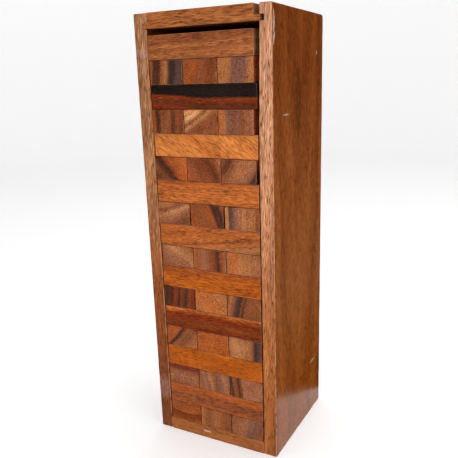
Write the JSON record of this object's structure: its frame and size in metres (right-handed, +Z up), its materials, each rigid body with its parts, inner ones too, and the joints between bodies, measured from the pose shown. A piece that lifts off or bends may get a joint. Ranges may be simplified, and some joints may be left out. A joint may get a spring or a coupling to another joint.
{
  "type": "tumbling tower",
  "caption": "Hardwood tumbling tower of crossed block layers, standing in an open-fronted upright wooden case with a lid that slides in side grooves. Each block slides out of the front.",
  "frame": {"origin": "centre of the case's underside", "axes": "+X to the right across the open front, +Y from the open front to the back, +Z up the tower"},
  "size_m": [0.1906, 0.172, 0.5855],
  "materials": {
    "case_board": "varnished hardwood",
    "lid_board": "varnished hardwood",
    "block_orange": "sanded hardwood, orange",
    "block_tan": "sanded hardwood, tan",
    "block_brown": "sanded hardwood, brown",
    "block_red_brown": "sanded hardwood, red-brown",
    "block_dark": "sanded hardwood, dark heartwood"
  },
  "bodies": {
    "case": {"left_side": "case_board", "right_side": "case_board", "base": "case_board", "back_board": "case_board"},
    "sliding_lid": {"sliding_lid": "lid_board"},
    "block_01_left": {"block_01_left": "block_orange"},
    "block_01_middle": {"block_01_middle": "block_tan"},
    "block_01_right": {"block_01_right": "block_dark"},
    "block_02_front": {"block_02_front": "block_brown"},
    "block_02_middle": {"block_02_middle": "block_brown"},
    "block_02_back": {"block_02_back": "block_orange"},
    "block_03_left": {"block_03_left": "block_brown"},
    "block_03_middle": {"block_03_middle": "block_tan"},
    "block_03_right": {"block_03_right": "block_tan"},
    "block_04_front": {"block_04_front": "block_orange"},
    "block_04_middle": {"block_04_middle": "block_red_brown"},
    "block_04_back": {"block_04_back": "block_brown"},
    "block_05_left": {"block_05_left": "block_tan"},
    "block_05_middle": {"block_05_middle": "block_orange"},
    "block_05_right": {"block_05_right": "block_dark"},
    "block_06_front": {"block_06_front": "block_red_brown"},
    "block_06_middle": {"block_06_middle": "block_brown"},
    "block_06_back": {"block_06_back": "block_orange"},
    "block_07_left": {"block_07_left": "block_dark"},
    "block_07_middle": {"block_07_middle": "block_orange"},
    "block_07_right": {"block_07_right": "block_brown"},
    "block_08_front": {"block_08_front": "block_orange"},
    "block_08_middle": {"block_08_middle": "block_orange"},
    "block_08_back": {"block_08_back": "block_red_brown"},
    "block_09_left": {"block_09_left": "block_tan"},
    "block_09_middle": {"block_09_middle": "block_brown"},
    "block_09_right": {"block_09_right": "block_orange"},
    "block_10_front": {"block_10_front": "block_brown"},
    "block_10_middle": {"block_10_middle": "block_tan"},
    "block_10_back": {"block_10_back": "block_red_brown"},
    "block_11_left": {"block_11_left": "block_tan"},
    "block_11_middle": {"block_11_middle": "block_brown"},
    "block_11_right": {"block_11_right": "block_tan"},
    "block_12_front": {"block_12_front": "block_orange"},
    "block_12_middle": {"block_12_middle": "block_brown"},
    "block_12_back": {"block_12_back": "block_orange"},
    "block_13_left": {"block_13_left": "block_brown"},
    "block_13_middle": {"block_13_middle": "block_brown"},
    "block_13_right": {"block_13_right": "block_brown"},
    "block_14_front": {"block_14_front": "block_orange"},
    "block_14_middle": {"block_14_middle": "block_tan"},
    "block_14_back": {"block_14_back": "block_brown"},
    "block_15_left": {"block_15_left": "block_brown"},
    "block_15_middle": {"block_15_middle": "block_tan"},
    "block_15_right": {"block_15_right": "block_brown"},
    "block_16_front": {"block_16_front": "block_dark"},
    "block_16_middle": {"block_16_middle": "block_red_brown"},
    "block_16_back": {"block_16_back": "block_brown"},
    "block_17_left": {"block_17_left": "block_dark"},
    "block_17_middle": {"block_17_middle": "block_orange"},
    "block_17_right": {"block_17_right": "block_tan"},
    "block_18_front": {"block_18_front": "block_orange"},
    "block_18_middle": {"block_18_middle": "block_brown"},
    "block_18_back": {"block_18_back": "block_orange"}
  },
  "joints": [
    {"name": "lid_slide", "type": "slide", "parent": "case", "child": "sliding_lid", "axis": [0, -1, 0], "range_m": [-0.001, 0.16]},
    {"name": "block_18_front_slide", "type": "slide", "parent": "block_18_middle", "child": "block_18_front", "axis": [0, -1, 0], "range_m": [-0.00245, 0.0575]},
    {"name": "block_18_middle_slide", "type": "slide", "parent": "block_18_back", "child": "block_18_middle", "axis": [0, -1, 0], "range_m": [-0.00045, 0.10975]},
    {"name": "block_18_back_slide", "type": "slide", "parent": "case", "child": "block_18_back", "axis": [0, -1, 0], "range_m": [-0.0007, 0.16]},
    {"name": "block_17_left_slide", "type": "slide", "parent": "case", "child": "block_17_left", "axis": [0, -1, 0], "range_m": [-0.0017, 0.159]},
    {"name": "block_17_middle_slide", "type": "slide", "parent": "case", "child": "block_17_middle", "axis": [0, -1, 0], "range_m": [-0.0017, 0.159]},
    {"name": "block_17_right_slide", "type": "slide", "parent": "case", "child": "block_17_right", "axis": [0, -1, 0], "range_m": [-0.0017, 0.159]},
    {"name": "block_16_front_slide", "type": "slide", "parent": "block_16_middle", "child": "block_16_front", "axis": [0, -1, 0], "range_m": [-0.00095, 0.059]},
    {"name": "block_16_middle_slide", "type": "slide", "parent": "block_16_back", "child": "block_16_middle", "axis": [0, -1, 0], "range_m": [-0.00045, 0.10975]},
    {"name": "block_16_back_slide", "type": "slide", "parent": "case", "child": "block_16_back", "axis": [0, -1, 0], "range_m": [-0.0007, 0.16]},
    {"name": "block_15_left_slide", "type": "slide", "parent": "case", "child": "block_15_left", "axis": [0, -1, 0], "range_m": [-0.0022, 0.1585]},
    {"name": "block_15_middle_slide", "type": "slide", "parent": "case", "child": "block_15_middle", "axis": [0, -1, 0], "range_m": [-0.0022, 0.1585]},
    {"name": "block_15_right_slide", "type": "slide", "parent": "case", "child": "block_15_right", "axis": [0, -1, 0], "range_m": [-0.0022, 0.1585]},
    {"name": "block_14_front_slide", "type": "slide", "parent": "block_14_middle", "child": "block_14_front", "axis": [0, -1, 0], "range_m": [-0.00045, 0.0595]},
    {"name": "block_14_middle_slide", "type": "slide", "parent": "block_14_back", "child": "block_14_middle", "axis": [0, -1, 0], "range_m": [-0.00045, 0.10975]},
    {"name": "block_14_back_slide", "type": "slide", "parent": "case", "child": "block_14_back", "axis": [0, -1, 0], "range_m": [-0.0007, 0.16]},
    {"name": "block_13_left_slide", "type": "slide", "parent": "case", "child": "block_13_left", "axis": [0, -1, 0], "range_m": [-0.0017, 0.159]},
    {"name": "block_13_middle_slide", "type": "slide", "parent": "case", "child": "block_13_middle", "axis": [0, -1, 0], "range_m": [-0.0017, 0.159]},
    {"name": "block_13_right_slide", "type": "slide", "parent": "case", "child": "block_13_right", "axis": [0, -1, 0], "range_m": [-0.0017, 0.159]},
    {"name": "block_12_front_slide", "type": "slide", "parent": "block_12_middle", "child": "block_12_front", "axis": [0, -1, 0], "range_m": [-0.00045, 0.0595]},
    {"name": "block_12_middle_slide", "type": "slide", "parent": "block_12_back", "child": "block_12_middle", "axis": [0, -1, 0], "range_m": [-0.00045, 0.10975]},
    {"name": "block_12_back_slide", "type": "slide", "parent": "case", "child": "block_12_back", "axis": [0, -1, 0], "range_m": [-0.0007, 0.16]},
    {"name": "block_11_left_slide", "type": "slide", "parent": "case", "child": "block_11_left", "axis": [0, -1, 0], "range_m": [-0.0012, 0.1595]},
    {"name": "block_11_middle_slide", "type": "slide", "parent": "case", "child": "block_11_middle", "axis": [0, -1, 0], "range_m": [-0.0012, 0.1595]},
    {"name": "block_11_right_slide", "type": "slide", "parent": "case", "child": "block_11_right", "axis": [0, -1, 0], "range_m": [-0.0012, 0.1595]},
    {"name": "block_10_front_slide", "type": "slide", "parent": "block_10_middle", "child": "block_10_front", "axis": [0, -1, 0], "range_m": [-0.00045, 0.0595]},
    {"name": "block_10_middle_slide", "type": "slide", "parent": "block_10_back", "child": "block_10_middle", "axis": [0, -1, 0], "range_m": [-0.00045, 0.10975]},
    {"name": "block_10_back_slide", "type": "slide", "parent": "case", "child": "block_10_back", "axis": [0, -1, 0], "range_m": [-0.0007, 0.16]},
    {"name": "block_09_left_slide", "type": "slide", "parent": "case", "child": "block_09_left", "axis": [0, -1, 0], "range_m": [-0.0007, 0.16]},
    {"name": "block_09_middle_slide", "type": "slide", "parent": "case", "child": "block_09_middle", "axis": [0, -1, 0], "range_m": [-0.0007, 0.16]},
    {"name": "block_09_right_slide", "type": "slide", "parent": "case", "child": "block_09_right", "axis": [0, -1, 0], "range_m": [-0.0007, 0.16]},
    {"name": "block_08_front_slide", "type": "slide", "parent": "block_08_middle", "child": "block_08_front", "axis": [0, -1, 0], "range_m": [-0.00045, 0.0595]},
    {"name": "block_08_middle_slide", "type": "slide", "parent": "block_08_back", "child": "block_08_middle", "axis": [0, -1, 0], "range_m": [-0.00045, 0.10975]},
    {"name": "block_08_back_slide", "type": "slide", "parent": "case", "child": "block_08_back", "axis": [0, -1, 0], "range_m": [-0.0007, 0.16]},
    {"name": "block_07_left_slide", "type": "slide", "parent": "case", "child": "block_07_left", "axis": [0, -1, 0], "range_m": [-0.0007, 0.16]},
    {"name": "block_07_middle_slide", "type": "slide", "parent": "case", "child": "block_07_middle", "axis": [0, -1, 0], "range_m": [-0.0007, 0.16]},
    {"name": "block_07_right_slide", "type": "slide", "parent": "case", "child": "block_07_right", "axis": [0, -1, 0], "range_m": [-0.0007, 0.16]},
    {"name": "block_06_front_slide", "type": "slide", "parent": "block_06_middle", "child": "block_06_front", "axis": [0, -1, 0], "range_m": [-0.00045, 0.0595]},
    {"name": "block_06_middle_slide", "type": "slide", "parent": "block_06_back", "child": "block_06_middle", "axis": [0, -1, 0], "range_m": [-0.00045, 0.10975]},
    {"name": "block_06_back_slide", "type": "slide", "parent": "case", "child": "block_06_back", "axis": [0, -1, 0], "range_m": [-0.0007, 0.16]},
    {"name": "block_05_left_slide", "type": "slide", "parent": "case", "child": "block_05_left", "axis": [0, -1, 0], "range_m": [-0.0007, 0.16]},
    {"name": "block_05_middle_slide", "type": "slide", "parent": "case", "child": "block_05_middle", "axis": [0, -1, 0], "range_m": [-0.0007, 0.16]},
    {"name": "block_05_right_slide", "type": "slide", "parent": "case", "child": "block_05_right", "axis": [0, -1, 0], "range_m": [-0.0007, 0.16]},
    {"name": "block_04_front_slide", "type": "slide", "parent": "block_04_middle", "child": "block_04_front", "axis": [0, -1, 0], "range_m": [-0.00045, 0.0595]},
    {"name": "block_04_middle_slide", "type": "slide", "parent": "block_04_back", "child": "block_04_middle", "axis": [0, -1, 0], "range_m": [-0.00045, 0.10975]},
    {"name": "block_04_back_slide", "type": "slide", "parent": "case", "child": "block_04_back", "axis": [0, -1, 0], "range_m": [-0.0007, 0.16]},
    {"name": "block_03_left_slide", "type": "slide", "parent": "case", "child": "block_03_left", "axis": [0, -1, 0], "range_m": [-0.0007, 0.16]},
    {"name": "block_03_middle_slide", "type": "slide", "parent": "case", "child": "block_03_middle", "axis": [0, -1, 0], "range_m": [-0.0007, 0.16]},
    {"name": "block_03_right_slide", "type": "slide", "parent": "case", "child": "block_03_right", "axis": [0, -1, 0], "range_m": [-0.0007, 0.16]},
    {"name": "block_02_front_slide", "type": "slide", "parent": "block_02_middle", "child": "block_02_front", "axis": [0, -1, 0], "range_m": [-0.00045, 0.0595]},
    {"name": "block_02_middle_slide", "type": "slide", "parent": "block_02_back", "child": "block_02_middle", "axis": [0, -1, 0], "range_m": [-0.00045, 0.10975]},
    {"name": "block_02_back_slide", "type": "slide", "parent": "case", "child": "block_02_back", "axis": [0, -1, 0], "range_m": [-0.0007, 0.16]},
    {"name": "block_01_left_slide", "type": "slide", "parent": "case", "child": "block_01_left", "axis": [0, -1, 0], "range_m": [-0.0007, 0.16]},
    {"name": "block_01_middle_slide", "type": "slide", "parent": "case", "child": "block_01_middle", "axis": [0, -1, 0], "range_m": [-0.0007, 0.16]},
    {"name": "block_01_right_slide", "type": "slide", "parent": "case", "child": "block_01_right", "axis": [0, -1, 0], "range_m": [-0.0007, 0.16]}
  ]
}
